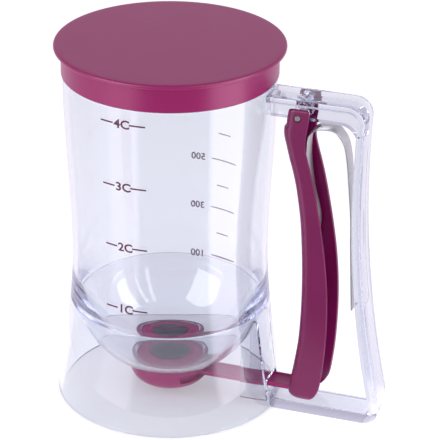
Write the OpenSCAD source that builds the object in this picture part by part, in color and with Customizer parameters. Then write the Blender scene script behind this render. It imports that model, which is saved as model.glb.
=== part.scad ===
// Squeeze-handle batter dispenser: a clear hourglass jug with a bowl floor and a spout,
// a press-on lid, and a trigger in the handle that swings a dish-shaped valve off the spout.
// Millimetres. Z is up, the origin is the middle of the foot, and the handle points along +X.

/* [Jug] */
// Height of the jug's rim above the table
rim_z = 183.6; // [165:0.2:215]
// Outer radius of the barrel at the rim
rim_r = 51.7; // [46:0.1:58]
// Height at which the barrel becomes straight below the rim
shoulder_z = 166; // [150:1:172]
// Height of the waist
waist_z = 77; // [68:1:90]
// Outer radius at the waist
waist_r = 48.4; // [44:0.1:51]
// Outer radius of the foot
foot_r = 56.9; // [53:0.1:62]
// Thickness of the clear wall
wall = 2.4; // [1.8:0.1:3.2]
// Depth of the step that the lid's skirt slides over
neck_step = 0.6; // [0.4:0.1:1]

/* [Bowl and spout] */
// Height at which the bowl leaves the barrel's wall
bowl_top_z = 63.2; // [60:0.2:74]
// Angle that the bowl turns through on its way to the spout
bowl_turn = 60; // [50:1:80]
// Height of the bowl's upper face where it opens into the spout
bowl_low_z = 36.2; // [33:0.2:41]
// Thickness of the bowl
bowl_t = 2.4; // [1.8:0.1:3.2]
// Radius of the spout's bore
spout_bore_r = 17; // [13:0.5:20]
// Thickness of the spout's wall
spout_wall = 2.5; // [1.8:0.1:3.2]
// Height of the spout's lower end above the table
spout_end_z = 16.6; // [15:0.2:22]

/* [Lid] */
// How far the lid's lip stands out past the skirt
lid_lip = 3.5; // [2:0.1:6]
// Thickness of the lid's top
lid_t = 2.4; // [1.8:0.1:4]
// Height of the lid from the skirt's edge to the top
lid_h = 15; // [10:0.2:19]
// Thickness of the skirt
lid_skirt_t = 1.1; // [0.8:0.1:1.6]
// Depth of the ring that plugs the jug's mouth
lid_plug_h = 5; // [3:0.5:8]
// Thickness of the plug ring
lid_plug_t = 1.4; // [1:0.1:2]

/* [Handle] */
// Width of the handle's strip
strip_w = 17; // [14:0.5:22]
// Thickness of the strip in the top arm
top_arm_t = 3.5; // [3:0.1:5]
// Thickness of the strip in the bottom arm
foot_arm_t = 5.6; // [4:0.1:6]
// Distance from the hinge pin to the grip's outer face
grip_reach = 31.4; // [29:0.2:38]
// How far the grip flares out at its lower end
grip_flare = 13.4; // [8:0.2:16]
// Outer radius of the handle's corners
corner_r = 8.5; // [7:0.5:12]
// Gap between the lid's skirt and the top arm
arm_gap = 2.6; // [1:0.2:5]
// Depth of the lug under the top arm
lug_h = 8.5; // [7:0.5:11]
// Thickness of the lug
lug_t = 6; // [4:0.5:8]
// Depth of the hinge pin below the top arm's underside
pin_drop = 5.2; // [4.6:0.1:5.8]
// Thickness of the raised pad that the spring rests on
pad_t = 0.9; // [0.5:0.1:1.5]

/* [Trigger] */
// Distance from the foot's edge to the hinge pin
pin_standoff = 10.3; // [9.5:0.1:16]
// Radius of the hinge pin
pin_r = 1.75; // [1.25:0.05:2]
// Width of the trigger
trigger_w = 21.6; // [20:0.2:26]
// Thickness of the trigger's sides
side_t = 1.8; // [1.4:0.1:2.2]
// Thickness of the trigger's front
front_t = 2; // [1.6:0.1:2.4]
// Corner radius of the trigger's toe, seen from the front
toe_round = 5; // [3:0.5:8]
// Height of the trigger's lower end above the table
trigger_low_z = 7.8; // [7.2:0.1:8.6]

/* [Valve] */
// Width of the valve arm
arm_w = 11.4; // [9:0.2:13]
// Thickness of the valve arm
arm_t = 1.6; // [1.2:0.1:2]
// Height of the lips along the arm's edges
arm_lip = 0.9; // [0.5:0.1:1.2]
// Depth of the valve cup
cup_h = 12; // [9:0.2:13]
// Radius of the cup's flat bottom
cup_foot_r = 12; // [8:0.5:14]
// Radius of the silicone button
button_r = 10; // [8:0.5:12]
// Height of the button's dome above the cup
button_h = 4.2; // [2:0.2:4.8]

/* [Spring] */
// Width of the spring strip
spring_w = 9; // [7:0.5:10]
// Thickness of the spring strip
spring_t = 0.7; // [0.5:0.1:1]

/* [Fits] */
// Gap between the lid and the barrel
lid_fit = 0.3; // [0.2:0.05:0.5]
// Gap between the closed valve and the spout's end
seat_gap = 0.2; // [0.1:0.05:0.4]
// Radial clearance of the pin in the trigger's ears
pin_fit = 0.06; // [0.03:0.01:0.1]
// Gap between the lug's boss and each ear of the trigger
ear_fit = 0.3; // [0.2:0.05:0.5]
// Gap between pieces that are hooked or plugged together
plug_fit = 0.1; // [0.05:0.05:0.2]
// Room beside and above the arm in the foot's slot
slot_room = 1.6; // [1:0.1:2.5]
// Room below the arm in the foot's slot, where the arm dips as the valve opens
slot_drop = 4.6; // [4.2:0.1:5]

/* [Hidden] */
$fn = 96;
over = 1;

// Places that follow from the sizes
lid_top_z = rim_z + lid_t;
skirt_z = lid_top_z - lid_h;
neck_r = rim_r - neck_step;
neck_z = skirt_z - lid_fit;
pin_x = foot_r + pin_standoff;
arm_top_z = skirt_z - arm_gap;
pin_z = arm_top_z - top_arm_t - pin_drop;
lug_low_z = arm_top_z - top_arm_t - lug_h;
grip_x = pin_x + grip_reach;
foot_lift = 0.4;
spout_r = spout_bore_r + spout_wall;
cup_lap = 1;
cup_r = spout_r + cup_lap;
cup_top_z = spout_end_z - seat_gap;
cup_low_z = cup_top_z - cup_h;
arm_drop = 5.4;
arm_z = cup_top_z - arm_drop;
slot_low_z = arm_z - slot_drop;
slot_top_z = arm_z + arm_t + arm_lip + slot_room;
trigger_l = pin_z - trigger_low_z;

function lerp(a, b, t) = a + (b - a) * t;
function ease(t) = (1 - cos(180 * t)) / 2;
function unit(v) = v / max(norm(v), 1e-9);
function arc(c, r, a, b, n) = [for (i = [0:n]) let (t = lerp(a, b, i / n)) c + r * [cos(t), sin(t)]];
function flip(p) = [for (i = [len(p) - 1:-1:0]) p[i]];

// One stretch of a smooth curve through four points
function blend4(a, b, c, d, t) =
    0.5 * (2 * b + (c - a) * t + (2 * a - 5 * b + 4 * c - d) * t * t + (3 * b - a - 3 * c + d) * t * t * t);

// Smooth open curve through the points, with n steps between each two
function curve(p, n) = [
    for (i = [0:len(p) - 2]) for (k = [0:n - 1])
        blend4(p[max(i - 1, 0)], p[i], p[i + 1], p[min(i + 2, len(p) - 1)], k / n),
    p[len(p) - 1]];

// Unit normal to the left of a path at its point i
function left_normal(p, i) = let (u = unit(p[min(i + 1, len(p) - 1)] - p[max(i - 1, 0)])) [-u[1], u[0]];

// Open path shifted to its left by d
function shifted(p, d) = [for (i = [0:len(p) - 1]) p[i] + d * left_normal(p, i)];

// Plate across Y with the XZ outline p
module flat_plate(p, w) {
    rotate([90, 0, 0]) linear_extrude(height = w, center = true, convexity = 6) polygon(p);
}

// Cylinder along Y through the hinge axis
module along_pin(r, w) {
    translate([pin_x, 0, pin_z]) rotate([90, 0, 0]) cylinder(r = r, h = w, center = true);
}

/* Jug */

// Outer radius of the barrel and the foot at height z: straight near the rim, a long
// S-curve down to the waist, then a flare to the table
function outer_r(z) =
    z >= shoulder_z ? rim_r
    : z >= waist_z ? lerp(waist_r, rim_r, ease((z - waist_z) / (shoulder_z - waist_z)))
    : lerp(waist_r, foot_r, pow((waist_z - z) / waist_z, 1.55));
function inner_r(z) = outer_r(z) - wall;

foot_round = 1;
rim_round = 0.6;
mouth_round = 1;
mouth_r = spout_bore_r + mouth_round;
// Half axes of the ellipse that the bowl follows, level and upright
bowl_a = (inner_r(bowl_top_z) - mouth_r) / (1 - cos(bowl_turn));
bowl_b = (bowl_top_z - bowl_low_z) / sin(bowl_turn);
// Point of the bowl's upper face at the angle t below its top, and of its underside
function bowl_point(t) = [inner_r(bowl_top_z) - bowl_a * (1 - cos(t)), bowl_top_z - bowl_b * sin(t)];
function under_point(t) = bowl_point(t) + bowl_t * unit([bowl_b * cos(t), -bowl_a * sin(t)]);
bowl_face = [for (i = [0:14]) bowl_point(bowl_turn * i / 14)];
// The underside from the spout outwards, as far as it is clear of the foot's wall
crease_gap = 0.2;
bowl_under = [for (i = [20:-1:0]) let (q = under_point(bowl_turn * i / 20))
    if (q[0] < inner_r(q[1]) - crease_gap) [max(q[0], spout_r), q[1]]];
under_low_z = bowl_under[0][1];
crease_z = bowl_under[len(bowl_under) - 1][1] + 2 * crease_gap;

// Outer line from the table up to the neck
jug_outside = concat(
    arc([outer_r(foot_round) - foot_round, foot_round], foot_round, -90, 0, 4),
    [for (i = [1:11]) let (z = lerp(foot_round, waist_z, i / 11)) [outer_r(z), z]],
    [for (i = [1:12]) let (z = lerp(waist_z, shoulder_z, i / 12)) [outer_r(z), z]],
    [[rim_r, neck_z], [neck_r, neck_z]]);

// Over the rim, down the inside to the bowl and the spout, and back along the underside
jug_inside = concat(
    [[neck_r, rim_z - rim_round], [neck_r - rim_round, rim_z], [rim_r - wall, rim_z]],
    [for (i = [0:7]) let (z = lerp(shoulder_z, bowl_top_z, i / 8)) [inner_r(z), z]],
    bowl_face,
    [[spout_bore_r, bowl_low_z - mouth_round], [spout_bore_r, spout_end_z], [spout_r, spout_end_z]],
    bowl_under,
    [for (i = [0:8]) let (z = lerp(crease_z, 0, i / 8)) [inner_r(z), z]]);

module jug_solid() {
    rotate_extrude(convexity = 8) polygon(concat(jug_outside, jug_inside));
}

// The jug's outline with no hollow, for cutting what is bonded to it
module jug_blank() {
    rotate_extrude() polygon(concat([[0, -over], [outer_r(foot_round) - foot_round, -over]],
        jug_outside, [[neck_r, rim_z], [0, rim_z]]));
}

guide_t = 1.8;
guide_y = arm_w / 2 + slot_room + guide_t / 2;
guide_x = cup_r + 19.5;

// Two gussets under the bowl that flank the arm
module guides() {
    reach = outer_r(0) - wall / 2;
    edge_top = crease_z - 1;
    outline = [[guide_x, foot_lift + 3.6], [guide_x, under_low_z - 1], [guide_x + 5.5, edge_top - 3],
        [inner_r(edge_top) + wall / 2, edge_top + 1.5], [reach, edge_top + 1.5], [reach, foot_lift + 3.6]];
    under = concat([[0, under_low_z + wall / 2]], [for (q = bowl_under) q + [0, wall / 2]],
        [for (i = [0:7]) let (z = lerp(crease_z, 0, i / 7)) [outer_r(z) - wall / 2, z]], [[0, 0]]);
    intersection() {
        union() for (s = [-1, 1]) translate([0, s * guide_y, 0]) flat_plate(outline, guide_t);
        rotate_extrude() polygon(under);
    }
}

// Window in the foot that the arm passes through, with round ends
module slot_cutter() {
    h = slot_top_z - slot_low_z;
    w = arm_w + 2 * slot_room;
    r = min(2.5, h / 2 - 0.1);
    translate([guide_x + 6, 0, (slot_low_z + slot_top_z) / 2]) rotate([90, 0, 90])
        linear_extrude(height = foot_r) union() {
            square([w, h - 2 * r], center = true);
            square([w - 2 * r, h], center = true);
            for (x = [-1, 1], y = [-1, 1])
                translate([x * (w / 2 - r), y * (h / 2 - r)]) circle(r = r, $fn = 32);
        }
}

module jug_body() {
    color("lavender", 0.35) difference() {
        union() {
            jug_solid();
            guides();
        }
        slot_cutter();
    }
}

/* Handle */

bow_z = arm_top_z - 43;
grip_low_z = corner_r * (1 + sin(13)) + foot_lift;
// Outer face of the grip at height z: nearly upright, then flaring out towards the foot
function grip_line(z) = z > bow_z ? grip_x + 1.0 * pow((z - bow_z) / 35, 2)
    : grip_x + grip_flare * pow((bow_z - z) / (bow_z - grip_low_z), 1.9);
// The strip thickens from the top arm to the bottom arm
function strip_t(z) = lerp(foot_arm_t, top_arm_t,
    min(1, max(0, (z - grip_low_z - 18) / (arm_top_z - corner_r - grip_low_z - 40))));

top_c = [grip_line(arm_top_z - corner_r) - corner_r, arm_top_z - corner_r];
lean = atan(1.9 * grip_flare / (bow_z - grip_low_z));
low_c = [grip_line(grip_low_z) - corner_r * cos(lean), foot_lift + corner_r];
low_start = low_c[1] + corner_r * sin(lean);
arm_root_top = rim_r - wall - over;
arm_root_low = foot_r - wall - over;
grip_steps = 14;
grip_zs = [for (i = [1:grip_steps - 1]) lerp(top_c[1], low_start, i / grip_steps)];

function strip_outside() = concat([[arm_root_top, arm_top_z]],
    arc(top_c, corner_r, 90, 0, 8),
    [for (z = grip_zs) [grip_line(z), z]],
    arc(low_c, corner_r, lean, -90, 9),
    [[arm_root_low, foot_lift]]);
function strip_inside() = concat([[arm_root_top, arm_top_z - top_arm_t]],
    arc(top_c, corner_r - top_arm_t, 90, 0, 8),
    [for (z = grip_zs) [grip_line(z) - strip_t(z), z]],
    arc(low_c, corner_r - foot_arm_t, lean, -90, 6),
    [[arm_root_low, foot_lift + foot_arm_t]]);

// Lug under the top arm, which runs into the grip with a round corner
lug_corner = 8.5;
boss_r = 4.2;
pad_rim = 0.4;
module lug() {
    face_x = pad_face(lug_low_z - lug_corner);
    outline = concat([[arm_root_top, lug_low_z]],
        arc([face_x - lug_corner, lug_low_z - lug_corner], lug_corner, 90, 0, 6),
        [[face_x + pad_t + 1, lug_low_z - lug_corner - 2]],
        arc(top_c, corner_r - top_arm_t / 2, 0, 90, 6),
        [[arm_root_top, arm_top_z - top_arm_t / 2]]);
    flat_plate(outline, lug_t);
    along_pin(boss_r, trigger_w - 2 * side_t - 2 * ear_fit);
}

// Raised pad on the grip's inner face
pad_top_z = lug_low_z - 6;
pad_low_z = lerp(low_start, lug_low_z, 0.36);
function pad_face(z) = grip_line(z) - strip_t(z) - pad_t;
module spring_pad() {
    zs = [for (i = [0:10]) lerp(pad_top_z, pad_low_z, i / 10)];
    face = [for (z = zs) [pad_face(z), z]];
    back = [for (z = zs) [pad_face(z) + pad_t + 1, z]];
    flat_plate(concat(face, flip(back)), spring_w + 2 * pad_rim);
}

module handle_frame() {
    color("lavender", 0.5) difference() {
        union() {
            flat_plate(concat(strip_outside(), flip(strip_inside())), strip_w);
            lug();
            spring_pad();
        }
        jug_blank();
        along_pin(pin_r, trigger_w + 2 * over);
    }
}

module hinge_pin() {
    color("silver") along_pin(pin_r, trigger_w - 0.4);
}

/* Trigger */

// Front line as [share of the length below the pin, share of the reach behind the pin]
front_line = [[-0.006, -0.22], [0.03, -0.232], [0.07, -0.229], [0.145, -0.146], [0.225, -0.041],
    [0.345, 0.051], [0.5, 0.102], [0.62, 0.108], [0.72, 0.096], [0.83, 0.045], [0.92, -0.029]];
// Open edge of the sides in the same measure
back_line = [[0, 0.169], [0.03, 0.15], [0.065, 0.124], [0.105, 0.124], [0.165, 0.197], [0.265, 0.312],
    [0.4, 0.433], [0.53, 0.513], [0.66, 0.548], [0.78, 0.538], [0.88, 0.494], [0.95, 0.436]];
// Round lower end
toe_line = [[0.975, 0.382], [0.993, 0.287], [1, 0.201], [0.998, 0.108], [0.99, -0.006], [0.97, -0.061]];

function trigger_point(e) = [pin_x + e[1] * grip_reach, pin_z - e[0] * trigger_l];
trigger_back = curve([for (e = back_line) trigger_point(e)], 3);
trigger_toe = curve([for (e = toe_line) trigger_point(e)], 4);
trigger_front = curve([for (e = flip(front_line)) trigger_point(e)], 3);
ear_top_z = pin_z + 4.6;
fork_z = pin_z - 6;
ear_front_x = pin_x - 6.4;
ear_back_x = pin_x + 5.2;
ear_corner = 2.6;
trigger_outline = concat(
    arc([ear_front_x + ear_corner, ear_top_z - ear_corner], ear_corner, 150, 90, 3),
    arc([ear_back_x - ear_corner, ear_top_z - ear_corner], ear_corner, 90, 0, 4),
    trigger_back, trigger_toe, trigger_front);

// The channel follows the front at the front's thickness and opens towards the grip
function channel_outline() =
    let (inner = shifted(concat(trigger_toe, trigger_front), -front_t),
        kept = [for (q = inner) if (q[1] < fork_z) q])
    concat([[grip_x, trigger_low_z + front_t]], kept,
        [[kept[len(kept) - 1][0], fork_z + over], [grip_x, fork_z + over]]);

// Width of the trigger seen from the front: slightly waisted under the ears, with a round toe
waist_in = 0.7;
ear_edge = 1.4;
module front_view() {
    half = trigger_w / 2;
    waist = half - waist_in;
    side = concat(arc([half - toe_round, trigger_low_z + toe_round], toe_round, -90, 0, 8),
        curve([[half, pin_z - 0.87 * trigger_l], [half, pin_z - 0.53 * trigger_l],
            [waist, pin_z - 0.145 * trigger_l], [waist, fork_z]], 5),
        arc([waist - ear_edge, ear_top_z - ear_edge], ear_edge, 0, 90, 4));
    translate([pin_x - grip_reach, 0, 0]) rotate([90, 0, 90]) linear_extrude(height = 2 * grip_reach)
        polygon(concat(side, flip([for (q = side) [-q[0], q[1]]])));
}

window_fit = 1.5 * plug_fit;
hook_h = 1.6;
hook_in = 0.6;
hook_x = pin_x + hook_in;
window_end = hook_in + front_t / 2;
module trigger() {
    inside_w = trigger_w - 2 * side_t;
    color("mediumvioletred") difference() {
        intersection() {
            flat_plate(trigger_outline, trigger_w);
            front_view();
        }
        flat_plate(channel_outline(), inside_w);
        // Fork between the ears
        translate([pin_x - grip_reach, -inside_w / 2, fork_z])
            cube([2 * grip_reach, inside_w, ear_top_z - fork_z + over]);
        along_pin(pin_r + pin_fit, trigger_w + 2 * over);
        // Window that the arm hooks through
        translate([pin_x - pin_standoff, -arm_w / 2 - window_fit, arm_z - window_fit])
            cube([pin_standoff + window_end, arm_w + 2 * window_fit, arm_t + arm_lip + 2 * window_fit]);
    }
}

/* Valve */

lip_w = 1.1;
tongue_l = 8;
tongue_in = 0.5;
tongue_w = arm_w - 2 * (lip_w + tongue_in);
arm_root_x = cup_r - tongue_l;
arm_face_x = cup_r - 1.5;
arm_end_x = hook_x + 2;
// Flat strip with a lip along each edge. It plugs into the cup and hooks into the trigger.
module valve_arm() {
    strip_l = arm_end_x - arm_face_x;
    color("mediumvioletred") union() {
        translate([arm_root_x, -tongue_w / 2, arm_z]) cube([cup_r, tongue_w, arm_t]);
        difference() {
            translate([arm_face_x, -arm_w / 2, arm_z]) cube([strip_l, arm_w, arm_t + arm_lip]);
            translate([arm_face_x - over, -arm_w / 2 + lip_w, arm_z + arm_t])
                cube([strip_l + 2 * over, arm_w - 2 * lip_w, arm_lip + over]);
            cup_blank(plug_fit);
        }
        // Hook behind the trigger's front
        translate([hook_x, -tongue_w / 2, arm_z + arm_t]) cube([arm_end_x - hook_x, tongue_w, hook_h]);
    }
}

// Dish with a flat top, a round belly and a flat bottom
cup_rim_h = 2.2;
cup_edge = 0.5;
module cup_blank(extra) {
    belly = [cup_r - cup_foot_r, cup_h - cup_rim_h];
    side = [for (i = [0:8]) let (a = 90 * i / 8)
        [cup_foot_r + belly[0] * sin(a) + extra, cup_low_z + belly[1] * (1 - cos(a))]];
    rotate_extrude() polygon(concat([[0, cup_low_z - extra], [cup_foot_r, cup_low_z - extra]], side,
        [[cup_r + extra, cup_top_z - cup_edge], [cup_r - cup_edge + extra, cup_top_z], [0, cup_top_z]]));
}

stem_r = 3;
stem_h = 4;
button_edge = 0.6;
module valve_cup() {
    color("mediumvioletred") difference() {
        cup_blank(0);
        translate([0, 0, cup_top_z - stem_h]) cylinder(r = stem_r + plug_fit, h = stem_h + over);
        translate([arm_root_x - plug_fit, -tongue_w / 2 - plug_fit, arm_z - plug_fit])
            cube([cup_r, tongue_w + 2 * plug_fit, arm_t + 2 * plug_fit]);
    }
}

// Silicone button: a low dome on a stem that plugs into the cup
module valve_seal() {
    dome_r = (button_r * button_r + button_h * button_h) / (2 * button_h);
    edge = button_edge;
    a = asin(button_r / dome_r);
    dome = [for (i = [0:6]) let (t = a * (1 - i / 6))
        [dome_r * sin(t), cup_top_z + edge + (button_h - edge) * (cos(t) - cos(a)) / (1 - cos(a))]];
    color("slategray") rotate_extrude() polygon(concat(
        [[0, cup_top_z - stem_h + plug_fit], [stem_r, cup_top_z - stem_h + plug_fit], [stem_r, cup_top_z],
            [button_r, cup_top_z]], dome));
}

/* Spring */

// Front leg as [share of the length below the pin, share of the reach behind the pin]
front_leg = [[0.54, 0.191], [0.45, 0.242], [0.36, 0.28], [0.26, 0.172], [0.175, 0.111], [0.11, 0.102],
    [0.073, 0.124], [0.052, 0.204], [0.042, 0.312]];
// Back leg as [share of the length below the pin, share of the reach in front of the pad]
back_leg = [[0.042, 0.35], [0.059, 0.242], [0.087, 0.159], [0.13, 0.108], [0.176, 0.076], [0.232, 0.045],
    [0.32, 0.006], [0.37, 0], [0.43, 0.003], [0.51, 0.016], [0.6, 0.035], [0.655, 0.048]];
spring_fit = 0.1;
function back_point(e) = let (z = pin_z - e[0] * trigger_l)
    [pad_face(z) - spring_fit - spring_t / 2 - e[1] * grip_reach, z];
module leaf_spring() {
    path = curve(concat([for (e = front_leg) trigger_point(e)], [for (e = back_leg) back_point(e)]), 4);
    outline = concat(shifted(path, spring_t / 2), flip(shifted(path, -spring_t / 2)));
    color("silver") flat_plate(outline, spring_w);
}

/* Lid */

// Flat top with a round lip, a skirt outside the neck and a plug ring inside the mouth
lid_nose = 0.4;
module lid() {
    skirt_in = neck_r + lid_fit;
    skirt_out = skirt_in + lid_skirt_t;
    plug_out = rim_r - wall - lid_fit;
    plug_in = plug_out - lid_plug_t;
    plug_z = rim_z - lid_plug_h;
    edge = lid_t / 2;
    color("mediumvioletred") rotate_extrude(convexity = 6) polygon(concat(
        [[0, rim_z], [plug_in, rim_z], [plug_in, plug_z + lid_nose], [plug_in + lid_nose, plug_z],
            [plug_out - lid_nose, plug_z], [plug_out, plug_z + 2 * lid_nose], [plug_out, rim_z],
            [skirt_in, rim_z], [skirt_in, skirt_z + lid_nose], [skirt_in + lid_nose, skirt_z],
            [skirt_out, skirt_z], [skirt_out, rim_z]],
        arc([skirt_out + lid_lip - edge, rim_z + edge], edge, -90, 90, 8),
        [[0, lid_top_z]]));
}

jug_body();
handle_frame();
hinge_pin();
leaf_spring();
trigger();
valve_arm();
valve_cup();
valve_seal();
lid();
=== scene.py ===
# %% [markdown]
# # A batter dispenser with a squeeze handle
#
# A clear jug with a waist stands on a flared foot. A bowl inside it ends in a short spout,
# and a plum-coloured cup closes the spout from below. The cup sits on an arm that the trigger
# in the handle carries, so a squeeze swings it aside and the batter runs out. A bent strip of
# spring steel pushes the trigger back. The lid presses on.
#
# Every shape here is worked out as an array of points: a profile turned about an axis, or a
# section carried along a path. All sizes are in millimetres until they go into a mesh.

# %% The frame
import math

import bpy
import numpy as np
from mathutils import Matrix, Vector


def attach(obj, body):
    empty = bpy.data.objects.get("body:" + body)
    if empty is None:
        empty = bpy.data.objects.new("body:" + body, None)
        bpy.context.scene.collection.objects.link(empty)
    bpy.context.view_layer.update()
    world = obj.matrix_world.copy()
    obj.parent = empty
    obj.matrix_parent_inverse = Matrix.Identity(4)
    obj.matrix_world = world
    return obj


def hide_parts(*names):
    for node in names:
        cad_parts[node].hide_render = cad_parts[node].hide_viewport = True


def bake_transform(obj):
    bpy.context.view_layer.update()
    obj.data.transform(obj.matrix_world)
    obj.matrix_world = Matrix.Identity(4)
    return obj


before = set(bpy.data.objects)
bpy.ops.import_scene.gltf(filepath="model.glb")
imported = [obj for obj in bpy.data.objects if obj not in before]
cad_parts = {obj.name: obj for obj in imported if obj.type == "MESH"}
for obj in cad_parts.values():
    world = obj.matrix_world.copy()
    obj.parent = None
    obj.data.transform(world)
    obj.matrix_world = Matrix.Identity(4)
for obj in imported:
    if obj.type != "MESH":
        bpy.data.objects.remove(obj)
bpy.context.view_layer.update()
scene = bpy.context.scene
MM = 0.001

# %% [markdown]
# ## Tools for surfaces
#
# A mesh is a list of points and a list of faces that name them. On a grid of points both come
# from index arithmetic, so a whole surface is made in one step. A mesh that is wound the wrong
# way has a negative volume, which is how the helper knows to turn its faces round.

# %% Points and faces to a mesh
SHARP_DEG = 32


def as_object(name, points, faces, sharp=SHARP_DEG):
    """A smooth-shaded object from points in mm. The volume is the sum over triangles of
    the first corner times the cross product of the other two, over six; if it is below
    zero, the faces are turned round."""
    points = np.asarray(points, float)
    fans = [(f[0], f[k], f[k + 1]) for f in faces for k in range(1, len(f) - 1)]
    a, b, c = (points[np.array(fans)[:, k]] for k in range(3))
    volume = np.einsum("ij,ij->", a, np.cross(b, c)) / 6
    if volume < 0:
        faces = [tuple(f[::-1]) for f in faces]
    mesh = bpy.data.meshes.new(name)
    mesh.from_pydata((points * MM).tolist(), [], faces)
    mesh.shade_smooth()
    mesh.set_sharp_from_angle(angle=math.radians(sharp))
    obj = bpy.data.objects.new(name, mesh)
    scene.collection.objects.link(obj)
    print(f"{name}: {len(points)} points, {len(faces)} faces, {abs(volume) / 1000:.2f} cm3")
    return obj


def grid_faces(rows, cols, ring_rows=False, ring_cols=False):
    """Four-sided faces of a grid whose point (i, j) has the number i * cols + j. A ring
    joins the last row or column to the first."""
    i = np.arange(rows if ring_rows else rows - 1)[:, None]
    j = np.arange(cols if ring_cols else cols - 1)[None, :]
    i1, j1 = (i + 1) % rows, (j + 1) % cols
    f = np.stack([i * cols + j + 0 * i1, i * cols + j1, i1 * cols + j1, i1 * cols + j], -1)
    return f.reshape(-1, 4).tolist()


# %% Turned and swept surfaces
def turned(name, profile, around, sharp=SHARP_DEG):
    """Turns a profile of (radius, height) about the Z axis: a point at angle t is
    (r cos t, r sin t, z). A profile that starts and ends on the axis gets a single point
    there, and one that never reaches it is closed on itself."""
    r, z = np.asarray(profile, float).T
    poles = r[0] < 1e-6 and r[-1] < 1e-6
    if poles:
        tips = [(0, 0, z[0]), (0, 0, z[-1])]
        r, z = r[1:-1], z[1:-1]
    t = np.linspace(0, 2 * np.pi, around, endpoint=False)[:, None]
    points = np.stack([r * np.cos(t), r * np.sin(t), z + 0 * t], -1)
    n = len(r)
    faces = grid_faces(around, n, True, not poles)
    points = points.reshape(-1, 3)
    if poles:
        points = np.vstack([points, tips])
        k = np.arange(around)
        nxt = (k + 1) % around * n
        faces += np.stack([nxt, k * n, 0 * k + around * n], -1).tolist()
        faces += np.stack([k * n + n - 1, nxt + n - 1, 0 * k + around * n + 1], -1).tolist()
    return as_object(name, points, faces, sharp)


def swept(name, stations, sharp=SHARP_DEG):
    """A tube through closed sections: stations[i, j] is point j of section i. Both ends
    are closed with one face."""
    rows, cols = stations.shape[:2]
    faces = grid_faces(rows, cols, False, True)
    ends = [list(range(cols))[::-1], list(range((rows - 1) * cols, rows * cols))]
    return as_object(name, stations.reshape(-1, 3), faces + ends, sharp)


STRAIGHT = 1.56


def rounded(corners, radii, steps):
    """A polyline whose inner corners are rounded. At a corner that turns by the angle a, an
    arc of radius r starts r tan(a / 2) before the corner, and bulges along the bisector. A
    corner whose half angle is above STRAIGHT radians is as good as straight and is kept."""
    corners = np.asarray(corners, float)
    out = [corners[:1]]
    for p, here, q, r in zip(corners[:-2], corners[1:-1], corners[2:], radii):
        u, v = (p - here) / np.linalg.norm(p - here), (q - here) / np.linalg.norm(q - here)
        half = np.arccos(np.clip(u @ v, -1, 1)) / 2
        if r <= 0 or half > STRAIGHT:
            out.append(here[None])
            continue
        centre = here + (u + v) / np.linalg.norm(u + v) * r / np.sin(half)
        a, b = here + u * r / np.tan(half) - centre, here + v * r / np.tan(half) - centre
        w = np.linspace(0, 1, steps + 1)[:, None]
        turn = np.pi - 2 * half
        out.append(centre + (np.sin((1 - w) * turn) * a + np.sin(w * turn) * b) / np.sin(turn))
    return np.vstack(out + [corners[-1:]])


def smooth_line(knots, steps):
    """A smooth curve through the knots. Between two of them it is a cubic whose slope at
    each knot is half the way from the knot before to the knot after."""
    p = np.asarray(knots, float)
    p = np.vstack([2 * p[0] - p[1], p, 2 * p[-1] - p[-2]])
    t = np.linspace(0, 1, steps, endpoint=False)[None, :, None]
    a, b, c, d = (p[k:len(p) - 3 + k, None] for k in range(4))
    q = b + 0.5 * t * (c - a + t * (2 * a - 5 * b + 4 * c - d + t * (3 * (b - c) + d - a)))
    return np.vstack([q.reshape(-1, p.shape[1]), p[-2:-1]])


def evaluated_mesh(obj):
    """A new mesh of what an object shows, with its modifiers applied."""
    depsgraph = bpy.context.evaluated_depsgraph_get()
    return bpy.data.meshes.new_from_object(obj.evaluated_get(depsgraph))


def join(obj, other, how):
    """Adds other to obj (UNION), takes it away (DIFFERENCE) or keeps what both share
    (INTERSECT). Only the result stays."""
    m = obj.modifiers.new("join", "BOOLEAN")
    m.operation, m.solver, m.object = how, "EXACT", other
    done = evaluated_mesh(obj)
    obj.modifiers.clear()
    obj.data = done
    bpy.data.objects.remove(other)
    done.shade_smooth()
    done.set_sharp_from_angle(angle=math.radians(SHARP_DEG))
    return obj


# %% [markdown]
# ## Colours and nodes
#
# Colours are written as sRGB hex, as a colour picker shows them, and one function turns them
# into the linear values that a renderer adds up. One helper adds a node with its settings and
# links, so that a material reads from top to bottom.

# %% Colour and node helpers
def linear(code, alpha=1.0):
    """Linear red, green and blue of an sRGB hex code: c / 12.92 below 0.04045, and
    ((c + 0.055) / 1.055) to the power 2.4 above it."""
    c = np.array([int(code[i:i + 2], 16) for i in (1, 3, 5)]) / 255
    low = c / 12.92
    high = ((c + 0.055) / 1.055) ** 2.4
    return (*np.where(c <= 0.04045, low, high).tolist(), alpha)


def node(tree, kind, at=(0, 0), links=None, **settings):
    """Adds a node. A setting named after an input sets that input, any other one sets a
    property of the node, and links joins inputs to outputs of earlier nodes."""
    n = tree.nodes.new(kind)
    n.location = at
    for key, value in settings.items():
        label = key.replace("_", " ")
        found = [s for s in n.inputs if s.name.lower() == label.lower() and s.enabled]
        if found and not hasattr(n, key):
            found[0].default_value = value
        else:
            setattr(n, key, value)
    for key, out in (links or {}).items():
        tree.links.new(out, n.inputs[key])
    return n


def new_material(name):
    """An empty node material and its output node."""
    m = bpy.data.materials.new(name)
    m.use_nodes = True
    m.node_tree.nodes.clear()
    return m, m.node_tree, node(m.node_tree, "ShaderNodeOutputMaterial", (900, 0))


# %% [markdown]
# ## Clear plastic
#
# The jug and the handle are injection-moulded styrene plastic, which is glass-clear and a
# touch cooler than white. It bends light like glass with an index near 1.57. Most of its
# colour builds up inside the wall, so that tint is a volume: a face seen straight on is
# nearly white, and an edge, where light runs a long way through the plastic, turns lavender
# grey. Each face also takes a few hundredths of the light, as the moulded skin does. The
# mould leaves faint waves, two or three centimetres apart, which make reflections wander.

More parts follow.
